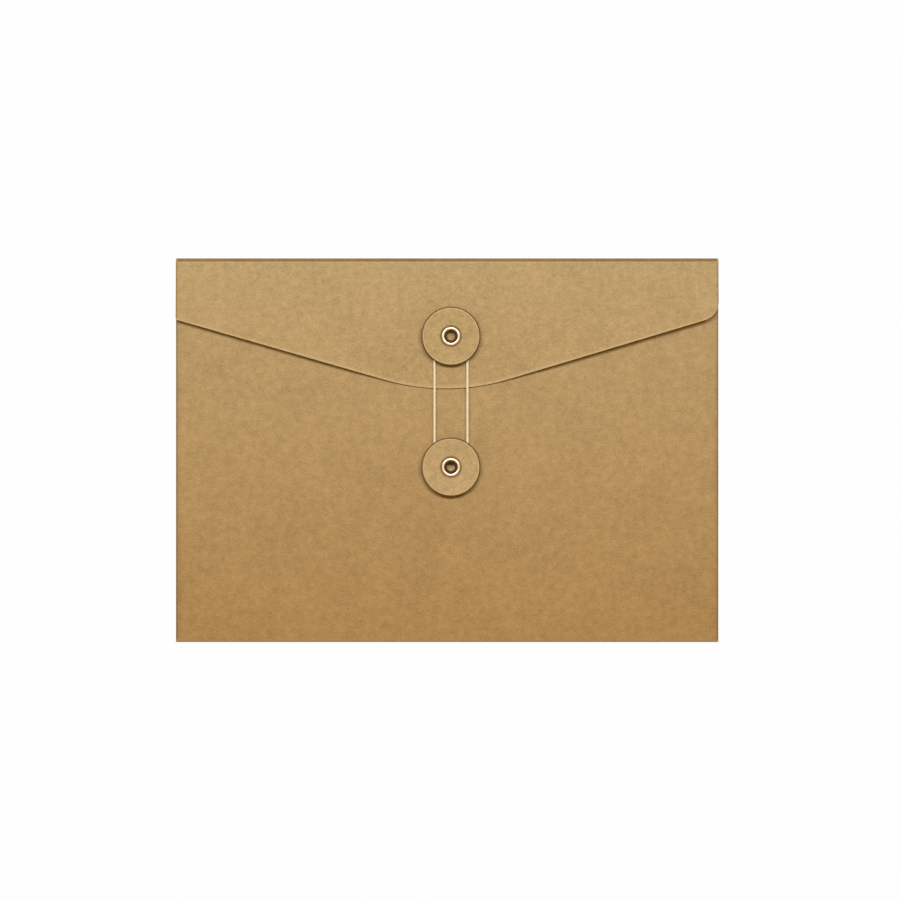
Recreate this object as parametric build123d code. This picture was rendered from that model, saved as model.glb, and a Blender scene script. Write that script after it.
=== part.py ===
from build123d import *
import math
import os

# String tie envelope: a folded kraft board pocket with a closing flap, a round button on the
# flap and one on the front, and a loop of string hooked round both.
# It lies on its back. X runs along the flap fold, Y from the bottom fold to the flap fold,
# and Z out of the face that carries the buttons. The origin is under the middle of the pocket.
# All sizes are in millimetres and all angles in degrees.

# Pocket
ENVELOPE_WIDTH = 229.0
ENVELOPE_HEIGHT = 162.0
BOARD = 0.4
POCKET_DEPTH = 1.3
MOUTH_DROP = 7.0
BACK_PANEL_INSET = 0.8

# Glued side tabs
TAB_WIDTH = 15.0
TAB_END_TAPER = 12.0
GLUE_FILM = 0.08
GLUE_MARGIN = 2.5

# Closing flap
FLAP_LEFT_DEPTH = 25.85
FLAP_RIGHT_DEPTH = 24.4
FLAP_POINT_DEPTH = 58.85
FLAP_TIP_RADIUS = 92.0
FLAP_LEFT_CORNER_RADIUS = 0.8
FLAP_RIGHT_CORNER_RADIUS = 8.4

# Buttons: a swivelling disc held off the board by a smaller spacer
BUTTON_OFFSET = 1.6
FLAP_BUTTON_DEPTH = 32.9
FRONT_BUTTON_DEPTH = 88.1
DISC_DIAMETER = 24.9
DISC_THICKNESS = 0.9
DISC_EDGE_CHAMFER = 0.15
SPACER_DIAMETER = 12.7
SPACER_THICKNESS = 1.8

# Eyelets: thin tapered metal tubes with a curled flange on top and a curled clinch underneath
EYELET_MOUTH_DIAMETER = 5.4
EYELET_THROAT_DIAMETER = 3.4
EYELET_WALL = 0.25
EYELET_FLANGE_CURL = 0.4
EYELET_CLINCH_CURL = 0.1
CURL_SIDES = 12

# String loop and its knot
STRING_DIAMETER = 1.1
STRING_HEADROOM = 0.25
STRING_END_GAP = 0.5
LOOP_SHOULDER = 4.4
LOOP_CORNER_TURN = 45.0
BEND_SHARE = 0.45
KNOT_LENGTH = 3.4
KNOT_WIDTH = 2.4
KNOT_EDGE_CHAMFER = 0.5

# Clearances
BARREL_CLEARANCE = 0.03
SWIVEL_CLEARANCE = 0.06
SWIVEL_PLAY = 0.03
CLINCH_CLEARANCE = 0.1
STRING_CLEARANCE = 0.05

# Levels of the layers, from the plane that the envelope lies on
back_top = BOARD
tab_bottom = back_top + GLUE_FILM
front_bottom = back_top + POCKET_DEPTH
front_top = front_bottom + BOARD
clinch_roll = EYELET_CLINCH_CURL + EYELET_WALL
flap_bottom = front_top + clinch_roll + CLINCH_CLEARANCE
flap_top = flap_bottom + BOARD

# Bend radii on the outside of each fold, and the lines where the flat panels begin
half_width = ENVELOPE_WIDTH / 2
half_height = ENVELOPE_HEIGHT / 2
bottom_bend = front_top / 2
flap_bend = flap_top / 2
side_bend = (front_top - tab_bottom) / 2
panel_start = -half_height + bottom_bend
flap_start = half_height - flap_bend
mouth_line = half_height - MOUTH_DROP
side_line = half_width - side_bend

# Button centres, eyelet radii and the radius of the string round a spacer
flap_button = (BUTTON_OFFSET, half_height - FLAP_BUTTON_DEPTH)
front_button = (BUTTON_OFFSET, half_height - FRONT_BUTTON_DEPTH)
mouth_radius = EYELET_MOUTH_DIAMETER / 2
throat_radius = EYELET_THROAT_DIAMETER / 2
spacer_radius = SPACER_DIAMETER / 2
loop_radius = spacer_radius + STRING_CLEARANCE + STRING_DIAMETER / 2
string_height = SPACER_THICKNESS - STRING_HEADROOM - STRING_DIAMETER / 2
disc_seat = SPACER_THICKNESS + SWIVEL_PLAY
flange_seat = disc_seat + DISC_THICKNESS + SWIVEL_PLAY


def barrel_radius(height):
    """The outer radius of an eyelet's tapered barrel at a height above the board's top."""
    share = (height + BOARD) / (flange_seat + BOARD)
    return throat_radius + share * (mouth_radius - throat_radius) + EYELET_WALL


board_hole_radius = barrel_radius(0) + BARREL_CLEARANCE
spacer_hole_radius = barrel_radius(SPACER_THICKNESS) + BARREL_CLEARANCE
disc_hole_radius = barrel_radius(flange_seat) + SWIVEL_CLEARANCE


def plate(outline, bottom, thickness):
    """A flat piece of the given outline and thickness, standing on the level bottom."""
    return Pos(0, 0, bottom) * extrude(outline, amount=thickness)


def rectangle_between(left, right, low, high):
    """A rectangle from its four edge positions."""
    return Pos((left + right) / 2, (low + high) / 2) * Rectangle(right - left, high - low)


def right_half(ring, radius):
    """The half of a flat ring that lies on the +X side of its centre."""
    return ring & rectangle_between(0, radius, -radius, radius)


def bent_board(outer_radius, crease, along, bulge, length):
    """Board bent through half a turn about a crease line, bulging to one side of it."""
    ring = Circle(outer_radius) - Circle(outer_radius - BOARD)
    bend = extrude(right_half(ring, outer_radius), amount=length / 2, both=True)
    return Plane(crease, x_dir=bulge, z_dir=along) * bend


def back_panel():
    """The plain back, a little narrower than the folded front."""
    half_back = half_width - BACK_PANEL_INSET
    return plate(rectangle_between(-half_back, half_back, panel_start, flap_start), 0, BOARD)


def front_panel():
    """The front of the pocket, up to its mouth, with the hole of the front eyelet."""
    outline = rectangle_between(-side_line, side_line, panel_start, mouth_line)
    return plate(outline - Pos(*front_button) * Circle(board_hole_radius), front_bottom, BOARD)


def bottom_fold():
    """The fold that joins the back to the front along the bottom."""
    crease = (0, panel_start, bottom_bend)
    return bent_board(bottom_bend, crease, (1, 0, 0), (0, -1, 0), ENVELOPE_WIDTH)


def flap_fold():
    """The fold that joins the back to the flap along the top, on which the flap hinges."""
    crease = (0, flap_start, flap_bend)
    return bent_board(flap_bend, crease, (1, 0, 0), (0, 1, 0), ENVELOPE_WIDTH)


def side_fold(side):
    """The fold that turns the front's side edge in to its glued tab."""
    crease = (side * side_line, (panel_start + mouth_line) / 2, (tab_bottom + front_top) / 2)
    return bent_board(side_bend, crease, (0, 1, 0), (side, 0, 0), mouth_line - panel_start)


def tab_outline(side):
    """A side tab seen from above: a long strip whose ends taper towards its free edge."""
    inner_line = side_line - TAB_WIDTH
    recess = TAB_WIDTH * math.tan(math.radians(TAB_END_TAPER))
    corners = (
        (side * side_line, panel_start),
        (side * inner_line, panel_start + recess),
        (side * inner_line, mouth_line - recess),
        (side * side_line, mouth_line),
    )
    return make_face(Polyline(*corners, close=True))


def side_tab(side):
    """The tab inside the pocket that holds the front to the back."""
    return plate(tab_outline(side), tab_bottom, BOARD)


def glue_film(side):
    """The film of glue between a side tab and the back."""
    outline = offset(tab_outline(side), amount=-GLUE_MARGIN, kind=Kind.INTERSECTION)
    return plate(outline, back_top, GLUE_FILM)


def closing_flap():
    """The flap: a shallow vee with a broad round tip, and the hole of its eyelet."""
    cut_edge = FilletPolyline(
        (-half_width, flap_start),
        (-half_width, half_height - FLAP_LEFT_DEPTH),
        (0, half_height - FLAP_POINT_DEPTH),
        (half_width, half_height - FLAP_RIGHT_DEPTH),
        (half_width, flap_start),
        radius=[FLAP_LEFT_CORNER_RADIUS, FLAP_TIP_RADIUS, FLAP_RIGHT_CORNER_RADIUS],
    )
    fold_edge = Line((half_width, flap_start), (-half_width, flap_start))
    outline = make_face(Curve() + cut_edge + fold_edge)
    return plate(outline - Pos(*flap_button) * Circle(board_hole_radius), flap_bottom, BOARD)


def spacer(button, board_top):
    """The washer that a button's disc stands on and the string goes round."""
    outline = Circle(spacer_radius) - Circle(spacer_hole_radius)
    return plate(Pos(*button) * outline, board_top, SPACER_THICKNESS)


def button_disc(button, board_top):
    """The round board disc of a button, with softened edges, free to turn on its eyelet."""
    outline = Circle(DISC_DIAMETER / 2) - Circle(disc_hole_radius)
    disc = plate(outline, board_top + disc_seat, DISC_THICKNESS)
    rims = disc.edges().filter_by(GeomType.CIRCLE).group_by(SortBy.RADIUS)[-1]
    return Pos(*button) * chamfer(rims, DISC_EDGE_CHAMFER)


def curled_rim(inner_radius, level, curl, turn):
    """The section of a rim that curls outwards from the tube, above (90) or below (-90) a level."""
    roll = curl + EYELET_WALL
    ring = RegularPolygon(roll, CURL_SIDES) - RegularPolygon(curl, CURL_SIDES)
    return Pos(inner_radius + roll, level) * Rot(0, 0, turn) * right_half(ring, roll)


def eyelet(button, board_top):
    """The eyelet of a button: a tapered tube through disc, spacer and board, curled over at both ends."""
    flange_level = board_top + flange_seat
    clinch_level = board_top - BOARD
    corners = (
        (throat_radius, clinch_level),
        (throat_radius + EYELET_WALL, clinch_level),
        (mouth_radius + EYELET_WALL, flange_level),
        (mouth_radius, flange_level),
    )
    barrel = make_face(Polyline(*corners, close=True))
    flange = curled_rim(mouth_radius, flange_level, EYELET_FLANGE_CURL, 90)
    clinch = curled_rim(throat_radius, clinch_level, EYELET_CLINCH_CURL, -90)
    section = Plane.XZ * (barrel + flange + clinch)
    return Pos(*button) * revolve(section, axis=Axis.Z)


def knot_line():
    """The Y position of the string where its two ends meet in the knot, beyond the flap's spacer."""
    return flap_button[1] + spacer_radius + STRING_CLEARANCE + KNOT_WIDTH / 2


def string_route():
    """The corner points of the string, from the knot round both spacers and back to the knot."""
    corner = loop_radius * math.tan(math.radians(LOOP_CORNER_TURN / 2))
    flap_level = flap_top + string_height
    front_level = front_top + string_height
    x, flap_y = flap_button
    front_y = front_button[1]
    return [
        Vector(x + STRING_END_GAP / 2, knot_line(), flap_level),
        Vector(x + LOOP_SHOULDER, knot_line(), flap_level),
        Vector(x + loop_radius, flap_y + corner, flap_level),
        Vector(x + loop_radius, front_y - corner, front_level),
        Vector(x + corner, front_y - loop_radius, front_level),
        Vector(x - corner, front_y - loop_radius, front_level),
        Vector(x - loop_radius, front_y - corner, front_level),
        Vector(x - loop_radius, flap_y + corner, flap_level),
        Vector(x - LOOP_SHOULDER, knot_line(), flap_level),
        Vector(x - STRING_END_GAP / 2, knot_line(), flap_level),
    ]


def bend_radii(route):
    """The radius at each inner corner of a route, as large as the two runs beside it allow."""
    runs = [after - before for before, after in zip(route, route[1:])]
    rooms = [run.length for run in runs]
    rooms[0] *= 2
    rooms[-1] *= 2
    radii = []
    for before, after, room in zip(runs, runs[1:], zip(rooms, rooms[1:])):
        half_turn = math.radians(before.get_angle(after) / 2)
        radii.append(BEND_SHARE * min(room) / math.tan(half_turn))
    return radii


def tie_string():
    """The string: one tube that leaves the knot, loops round both buttons and comes back to it."""
    route = string_route()
    radii = bend_radii(route)
    path = FilletPolyline(*route, radius=radii)
    tube = sweep(Plane(path @ 0, z_dir=path % 0) * Circle(STRING_DIAMETER / 2), path=path)
    drawn_volume = math.pi * STRING_DIAMETER**2 / 4 * path.length
    print("string bend radii", [round(radius, 2) for radius in radii])
    print("string length", round(path.length, 2), "volume ratio", round(tube.volume / drawn_volume, 5))
    print("gap between the string's runs", round(2 * loop_radius - STRING_DIAMETER, 2))
    print("gap between the string's ends", round((path @ 1 - path @ 0).length, 2))
    return tube


def string_knot():
    """The flat knot behind the flap's disc that the two ends of the string run into."""
    bottom = flap_top + STRING_CLEARANCE
    height = disc_seat - 2 * STRING_CLEARANCE
    place = Pos(flap_button[0], knot_line())
    body = plate(SlotOverall(KNOT_LENGTH, KNOT_WIDTH), bottom, height)
    body = chamfer(body.edges().filter_by(Plane.XY), KNOT_EDGE_CHAMFER)
    channel = Cylinder(STRING_DIAMETER / 2 + BARREL_CLEARANCE, KNOT_LENGTH)
    return place * (body - Pos(0, 0, flap_top + string_height) * Rot(0, 90, 0) * channel)


pieces = {
    "back_panel": back_panel(),
    "front_panel": front_panel(),
    "bottom_fold": bottom_fold(),
    "flap_fold": flap_fold(),
    "closing_flap": closing_flap(),
    "tie_string": tie_string(),
    "string_knot": string_knot(),
}
for name, side in (("left", -1), ("right", 1)):
    pieces[f"{name}_side_fold"] = side_fold(side)
    pieces[f"{name}_side_tab"] = side_tab(side)
    pieces[f"{name}_glue_film"] = glue_film(side)
for name, button, board_top in (("flap", flap_button, flap_top), ("front", front_button, front_top)):
    pieces[f"{name}_spacer"] = spacer(button, board_top)
    pieces[f"{name}_disc"] = button_disc(button, board_top)
    pieces[f"{name}_eyelet"] = eyelet(button, board_top)

os.makedirs("parts", exist_ok=True)
for name, piece in pieces.items():
    export_step(piece, f"parts/{name}.step")
    print(name, round(piece.volume, 3))
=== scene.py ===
"""String tie envelope: a kraft board pocket whose flap is closed by a loop of string round two buttons."""
import logging
import math
from collections.abc import Callable, Iterable
from dataclasses import dataclass
from enum import Enum

import bmesh
import bpy
from bmesh.types import BMEdge, BMesh, BMFace, BMLayerItem, BMVert
from bpy.types import ID, Material, Node, NodeSocket, NodeTree, Object
from mathutils import Matrix, Vector
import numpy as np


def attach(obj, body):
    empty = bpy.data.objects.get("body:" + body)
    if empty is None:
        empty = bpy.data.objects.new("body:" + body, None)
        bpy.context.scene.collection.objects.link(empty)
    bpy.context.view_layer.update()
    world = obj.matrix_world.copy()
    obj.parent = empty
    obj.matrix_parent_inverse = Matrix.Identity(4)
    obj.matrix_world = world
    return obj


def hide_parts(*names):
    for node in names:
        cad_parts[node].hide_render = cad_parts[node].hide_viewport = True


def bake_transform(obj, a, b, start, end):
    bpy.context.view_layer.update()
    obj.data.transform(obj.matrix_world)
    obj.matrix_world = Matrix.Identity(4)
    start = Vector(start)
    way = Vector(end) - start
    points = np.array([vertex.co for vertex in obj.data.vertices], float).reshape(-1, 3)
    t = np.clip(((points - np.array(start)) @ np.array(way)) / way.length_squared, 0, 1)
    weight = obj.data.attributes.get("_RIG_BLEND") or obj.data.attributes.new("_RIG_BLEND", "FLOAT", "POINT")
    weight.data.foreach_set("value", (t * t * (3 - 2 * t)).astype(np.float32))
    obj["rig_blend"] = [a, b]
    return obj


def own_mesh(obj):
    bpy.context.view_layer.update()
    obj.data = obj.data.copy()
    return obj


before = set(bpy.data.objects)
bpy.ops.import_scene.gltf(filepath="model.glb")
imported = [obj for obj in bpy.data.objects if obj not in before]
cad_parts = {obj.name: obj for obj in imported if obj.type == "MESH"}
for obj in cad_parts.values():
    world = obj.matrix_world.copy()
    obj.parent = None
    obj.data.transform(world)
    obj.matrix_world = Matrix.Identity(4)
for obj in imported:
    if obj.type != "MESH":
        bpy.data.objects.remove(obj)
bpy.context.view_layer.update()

Colour = tuple[float, float, float]
Linear = tuple[float, float, float, float]
Noise = tuple[float, float, float]
Place = tuple[float, float]
Point = tuple[float, float, float]
Span = tuple[float, float]

LOG = logging.getLogger("string_tie_envelope")
MM = 0.001
# In mm: places this near are the same, and the ends of a turned piece this near are merged.
NEAR = 0.001
MERGE = 0.0005
UP = Vector((0.0, 0.0, 1.0))
ALONG_X = Vector((1.0, 0.0, 0.0))
ALONG_Y = Vector((0.0, 1.0, 0.0))
WHITE: Linear = (1.0, 1.0, 1.0, 1.0)
FLAP_BUTTON_PLACE: Place = (1.6, 48.1)
FRONT_BUTTON_PLACE: Place = (1.6, -7.1)
# The values of a noise that shade a colour, and those that set a roughness.
SHADE_TONES: Span = (0.25, 0.75)
POLISH_TONES: Span = (0.2, 0.8)


class Body(Enum):
    """The bodies that a piece can ride on."""

    POCKET = "pocket"
    FLAP = "flap"
    FLAP_BUTTON = "flap_button"
    FRONT_BUTTON = "front_button"


class Slot(Enum):
    """The record's material slots."""

    BOARD = "kraft_board"
    DISC = "kraft_disc"
    SPACER = "grey_board"
    EYELET = "bright_nickel"
    STRING = "cotton_string"
    GLUE = "seam_glue"


class Side(Enum):
    """The two sides of the pocket, as signs along X."""

    LEFT = -1
    RIGHT = 1


class Mark(Enum):
    """Vertex values that a mesh hands to its material."""

    # Paler board: cut and rubbed edges, and painted light and highlights.
    CUT = "pale_edge_and_light"
    # Painted shade along folds and edges, and round the buttons.
    CREASE = "crease"
    GROOVE = "groove"
    BORE_SHADE = "bore_shade"


Finishes = dict[Slot, Material]


def linear(colour: Colour) -> Linear:
    """Turn a screen colour, from 0 to 255, into the linear colour of a socket, by the standard curve.

    Args:
        colour: red, green and blue.

    Returns:
        The linear colour with full alpha.
    """
    shares = [value / 255 for value in colour]
    toe = [share / 12.92 if share <= 0.04045 else ((share + 0.055) / 1.055) ** 2.4 for share in shares]
    return (*toe, 1.0)


def smooth_step(value: float) -> float:
    """Ease a share from 0 to 1, flat at both ends."""
    share = min(1.0, max(0.0, value))
    return share * share * (3 - 2 * share)


class Graph:
    """Short ways to add and join the nodes of one shader tree."""

    # The sockets of a Mix node that carry colours.
    MIX_FACTOR, MIX_FIRST, MIX_SECOND, MIX_RESULT = 0, 6, 7, 2

    def __init__(self, tree: NodeTree) -> None:
        """Start from an empty tree."""
        self.tree = tree
        tree.nodes.clear()

    def add(self, kind: str, inputs: dict | None = None, **settings: object) -> Node:
        """Add a node.

        Args:
            kind: Blender's name of the node type.
            inputs: a socket to link or a constant for each input, by name or number.
            settings: properties of the node, by name.

        Returns:
            The new node.
        """
        node = self.tree.nodes.new(kind)
        for name, value in settings.items():
            setattr(node, name, value)
        self.fill(node, inputs or {})
        return node

    def fill(self, node: Node, inputs: dict) -> None:
        """Fill the inputs of a node.

        Args:
            node: the node.
            inputs: a socket to link or a constant for each input, by name or number.
        """
        for name, source in inputs.items():
            if isinstance(source, NodeSocket):
                self.tree.links.new(source, node.inputs[name])
            else:
                node.inputs[name].default_value = source

    def math(self, operation: str, *values: object) -> NodeSocket:
        """Join sockets and numbers by a Math node."""
        return self.add("ShaderNodeMath", dict(enumerate(values)), operation=operation).outputs[0]

    def mix(self, factor: object, first: object, second: object, way: str = "MIX") -> NodeSocket:
        """Mix a share of a second colour into a first."""
        inputs = {self.MIX_FACTOR: factor, self.MIX_FIRST: first, self.MIX_SECOND: second}
        return self.add("ShaderNodeMix", inputs, data_type="RGBA", blend_type=way).outputs[self.MIX_RESULT]

    def spread(self, value: object, span: Span, onto: Span = (0.0, 1.0)) -> NodeSocket:
        """Map one range of values onto another, and hold it there."""
        return self.add("ShaderNodeMapRange", dict(enumerate((value, *span, *onto))), clamp=True).outputs[0]

    def noise(self, vector: object, kind: Noise) -> NodeSocket:
        """Add a noise texture of some cells per metre, octaves and weight of the finer octaves."""
        inputs = dict(zip(("Vector", "Scale", "Detail", "Roughness"), (vector, *kind)))
        return self.add("ShaderNodeTexNoise", inputs).outputs[0]

    def turned(self, vector: object, scale: Point, turn: float = 0.0, shift: float = 0.0) -> NodeSocket:
        """Stretch coordinates, turn them about Z by some degrees and shift them along X in metres."""
        inputs = {"Location": ALONG_X * shift, "Rotation": UP * math.radians(turn), "Scale": scale}
        return self.add("ShaderNodeMapping", {"Vector": vector, **inputs}).outputs[0]

    def scaled(self, colour: object, shade: object) -> NodeSocket:
        """Make a colour lighter or darker by a factor."""
        return self.add("ShaderNodeVectorMath", {0: colour, "Scale": shade}, operation="SCALE").outputs[0]

    def bump(self, height: object, depth: float, share: float) -> NodeSocket:
        """Turn a height from 0 to 1 into a relief of some depth in mm, and show a share of it."""
        inputs = {"Height": height, "Distance": depth * MM, "Strength": share}
        return self.add("ShaderNodeBump", inputs).outputs[0]

    def group(self, tree: NodeTree, **inputs: object) -> Node:
        """Place a node group."""
        return self.add("ShaderNodeGroup", inputs, node_tree=tree)

    def mark(self, mark: Mark) -> NodeSocket:
        """Read a vertex value of the mesh."""
        return self.add("ShaderNodeAttribute", attribute_name=mark.value).outputs["Fac"]

    def object_place(self) -> NodeSocket:
        """Read the place on the piece, in metres."""
        return self.add("ShaderNodeTexCoord").outputs["Object"]

    def ray_is(self, *kinds: str) -> NodeSocket:
        """Find whether a ray is of one of some kinds.

        Args:
            kinds: kinds of rays, as the Light Path node names them.

        Returns:
            A socket that gives 1 for these rays.
        """
        path = self.add("ShaderNodeLightPath")
        seen = path.outputs[f"Is {kinds[0]} Ray"]
        for kind in kinds[1:]:
            seen = self.math("MAXIMUM", seen, path.outputs[f"Is {kind} Ray"])
        return seen


def new_group(name: str, inputs: dict[str, str], outputs: dict[str, str]) -> tuple[Graph, dict, Node]:
    """Start a shader node group with named sockets.

    Args:
        name: the group's name.
        inputs: input names with their kinds.
        outputs: output names with their kinds.

    Returns:
        The graph, the input sockets by name, and the output node.
    """
    tree = bpy.data.node_groups.new(name, "ShaderNodeTree")
    graph = Graph(tree)
    for way, labels in (("INPUT", inputs), ("OUTPUT", outputs)):
        for label, kind in labels.items():
            tree.interface.new_socket(label, in_out=way, socket_type=f"NodeSocket{kind}")
    source = graph.add("NodeGroupInput")
    return graph, {label: source.outputs[label] for label in inputs}, graph.add("NodeGroupOutput")


@dataclass(frozen=True)
class FibreEffect:
    """The fibre of pressed board: grain, clouds and drifts of tone, and stray light and dark fibres."""

    grain: Noise = (1500.0, 3.0, 0.62)
    clouds: Noise = (330.0, 2.0, 0.55)
    drifts: Noise = (42.0, 1.0, 0.5)
    grain_share: float = 0.55
    cloud_share: float = 0.33
    drift_share: float = 0.12
    strand: Noise = (420.0, 1.0, 0.5)
    # Turn in degrees, stretch and shift in metres of each layer of fibres.
    layers: tuple[Point, ...] = ((18.0, 9.0, 0.3), (-52.0, 7.0, 1.1), (81.0, 8.0, 2.7))
    light: Span = (0.66, 0.76)
    dark: Span = (0.30, 0.22)
    strand_height: float = 0.5

    def make(self) -> NodeTree:
        """Build the node group.

        Returns:
            The group's tree.
        """
        results = dict.fromkeys(("Tone", "Light", "Dark", "Height"), "Float")
        graph, sockets, output = new_group("board_fibre", {"Vector": "Vector"}, results)
        place = sockets["Vector"]
        grain, clouds, drifts = (graph.noise(place, kind) for kind in (self.grain, self.clouds, self.drifts))
        tone = graph.math("MULTIPLY_ADD", clouds, self.cloud_share,
                          graph.math("MULTIPLY", grain, self.grain_share))
        strands = [graph.noise(graph.turned(place, (1.0, stretch, 1.0), turn, shift), self.strand)
                   for turn, stretch, shift in self.layers]
        light = graph.math("MAXIMUM", strands[0], strands[1])
        dark = graph.math("MINIMUM", strands[1], strands[2])
        graph.fill(output, {
            "Tone": graph.math("MULTIPLY_ADD", drifts, self.drift_share, tone),
            "Light": graph.spread(light, self.light),
            "Dark": graph.spread(dark, self.dark),
            "Height": graph.math("MULTIPLY_ADD", light, self.strand_height, grain),
        })
        return graph.tree


@dataclass(frozen=True)
class EdgeEffect:
    """Paler board, with fibres standing out of it: cut and rubbed edges, and painted light and highlights."""

    breaks: Noise = (700.0, 2.0, 0.5)
    break_tones: Span = (0.3, 0.7)
    break_reach: Span = (0.65, 1.0)
    fade: Span = (0.25, 1.0)

    def make(self) -> NodeTree:
        """Build the node group.

        Returns:
            The group's tree.
        """
        inputs = {"Colour": "Color", "Worn": "Color", "Edge": "Float", "Vector": "Vector"}
        graph, sockets, output = new_group("rubbed_edge_and_light", inputs, {"Colour": "Color"})
        breaks = graph.noise(sockets["Vector"], self.breaks)
        share = graph.spread(breaks, self.break_tones, self.break_reach)
        reach = graph.math("MULTIPLY", sockets["Edge"], share)
        worn_and_lit = graph.mix(graph.spread(reach, self.fade), sockets["Colour"], sockets["Worn"])
        graph.fill(output, {"Colour": worn_and_lit})
        return graph.tree


class Effects:
    """The effects that more than one finish uses, each a node group that is built once."""

    def __init__(self) -> None:
        """Build every group."""
        self.fibre = FibreEffect().make()
        self.pale_edge_and_light = EdgeEffect().make()


@dataclass(frozen=True)
class Finish:
    """A finish: one material, made once and shared by the pieces that have it."""

    name: str

    def make(self, effects: Effects) -> Material:
        """Build the material.

        Args:
            effects: the shared node groups.

        Returns:
            The material.
        """
        material = bpy.data.materials.new(self.name)
        material.use_nodes = True
        graph = Graph(material.node_tree)
        surface = graph.add("ShaderNodeBsdfPrincipled", self.paint(graph, effects))
        graph.add("ShaderNodeOutputMaterial", {"Surface": surface.outputs[0]})
        return material

    def paint(self, graph: Graph, effects: Effects) -> dict[str, object]:
        """Join the nodes of the look, and give the surface's inputs by name."""
        raise NotImplementedError


@dataclass(frozen=True)
class BoardFinish(Finish):
    """Pressed fibre board, from a colour at one level in Y to a colour at another."""

    bottom: Colour
    top: Colour
    # Pale colour of cut and rubbed edges, and of painted light and highlights.
    edge: Colour
    # Colour that the painted shade multiplies the board by.
    crease: Colour
    contrast: float
    levels: Span
    light_fibre: Colour = (222, 190, 140)
    light_share: float = 0.30
    dark_fibre: Colour = (112, 82, 46)
    dark_share: float = 0.35
    roughness: Span = (0.86, 0.74)
    gloss: float = 0.25
    relief: Span = (0.03, 0.5)

    def paint(self, graph: Graph, effects: Effects) -> dict[str, object]:
        """Join the nodes of the look.

        Args:
            graph: the material's graph.
            effects: the shared node groups.

        Returns:
            The surface's inputs.
        """
        place = graph.object_place()
        fibre = graph.group(effects.fibre, Vector=place).outputs
        level = graph.add("ShaderNodeSeparateXYZ", {0: place}).outputs["Y"]
        low, high = self.levels
        ground = graph.mix(graph.spread(level, (low * MM, high * MM)), linear(self.bottom), linear(self.top))
        shade = graph.spread(fibre["Tone"], SHADE_TONES, (1.0 - self.contrast, 1.0 + self.contrast))
        lit = graph.mix(graph.math("MULTIPLY", fibre["Light"], self.light_share),
                        graph.scaled(ground, shade), linear(self.light_fibre))
        flecked = graph.mix(graph.math("MULTIPLY", fibre["Dark"], self.dark_share),
                            lit, linear(self.dark_fibre))
        # Painted shade, where the mesh marks it.
        with_painted_shade = graph.mix(graph.mark(Mark.CREASE), flecked, linear(self.crease), "MULTIPLY")
        # Paler where the mesh marks it: real cut and rubbed edges, and painted light and highlights.
        rubbed_and_lit = graph.group(effects.pale_edge_and_light, Vector=place, Colour=with_painted_shade, Worn=linear(self.edge),
                             Edge=graph.mark(Mark.CUT))
        return {
            "Base Color": rubbed_and_lit.outputs["Colour"],
            "Roughness": graph.spread(fibre["Tone"], POLISH_TONES, self.roughness),
            "Specular IOR Level": self.gloss,
            "Normal": graph.bump(fibre["Height"], *self.relief),
        }


@dataclass(frozen=True)
class SpacerFinish(Finish):
    """Grey board whose turned side shows the layers that it is pressed from."""

    face: Colour
    layer: Colour
    layers_per_metre: float = 3200.0
    waviness: float = 1.5
    layer_share: float = 0.5
    shade: Span = (0.86, 1.14)
    roughness: Span = (0.92, 0.8)
    gloss: float = 0.2
    relief: Span = (0.04, 0.6)

    def paint(self, graph: Graph, effects: Effects) -> dict[str, object]:
        """Join the nodes of the look.

        Args:
            graph: the material's graph.
            effects: the shared node groups.

        Returns:
            The surface's inputs.
        """
        place = graph.object_place()
        fibre = graph.group(effects.fibre, Vector=place).outputs
        wave = {"Vector": place, "Scale": self.layers_per_metre, "Distortion": self.waviness}
        bands = graph.add("ShaderNodeTexWave", wave, bands_direction="Z").outputs["Fac"]
        layered = graph.mix(graph.math("MULTIPLY", bands, self.layer_share),
                            linear(self.face), linear(self.layer))
        speckled = graph.mix(fibre["Dark"], layered, linear(self.layer))
        return {
            "Base Color": graph.scaled(speckled, graph.spread(fibre["Tone"], SHADE_TONES, self.shade)),
            "Roughness": graph.spread(fibre["Tone"], POLISH_TONES, self.roughness),
            "Specular IOR Level": self.gloss,
            "Normal": graph.bump(fibre["Height"], *self.relief),
        }


@dataclass(frozen=True)
class MetalFinish(Finish):
    """Bright plated metal with faint polishing marks and finger smudges, and painted shade inside its bore.
    """

    bright: Colour
    dull: Colour
    # Colour of the painted shade inside the bore.
    bore_shade: Colour
    smudge: Noise = (650.0, 3.0, 0.6)
    smudge_tones: Span = (0.35, 0.75)
    polish_tones: Span = (0.3, 0.75)
    roughness: Span = (0.2, 0.34)
    bore_roughness: float = 0.3
    scratch: Noise = (2600.0, 2.0, 0.5)
    scratch_stretch: Point = (1.0, 1.0, 14.0)
    scratch_turn: float = 30.0
    relief: Span = (0.008, 0.35)

    def paint(self, graph: Graph, effects: Effects) -> dict[str, object]:
        """Join the nodes of the look.

        Args:
            graph: the material's graph.
            effects: the shared node groups, which are not used here.

        Returns:
            The surface's inputs.
        """
        place = graph.object_place()
        smudge = graph.noise(place, self.smudge)
        scratches = graph.noise(graph.turned(place, self.scratch_stretch, self.scratch_turn), self.scratch)
        # Painted shade inside the bore.
        inside = graph.mark(Mark.BORE_SHADE)
        plated = graph.mix(graph.spread(smudge, self.smudge_tones), linear(self.bright), linear(self.dull))
        polish = graph.spread(smudge, self.polish_tones, self.roughness)
        return {
            "Base Color": graph.mix(inside, plated, linear(self.bore_shade)),
            "Metallic": 1.0,
            "Roughness": graph.math("MULTIPLY_ADD", inside, self.bore_roughness, polish),
            "Normal": graph.bump(scratches, *self.relief),
        }


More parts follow.
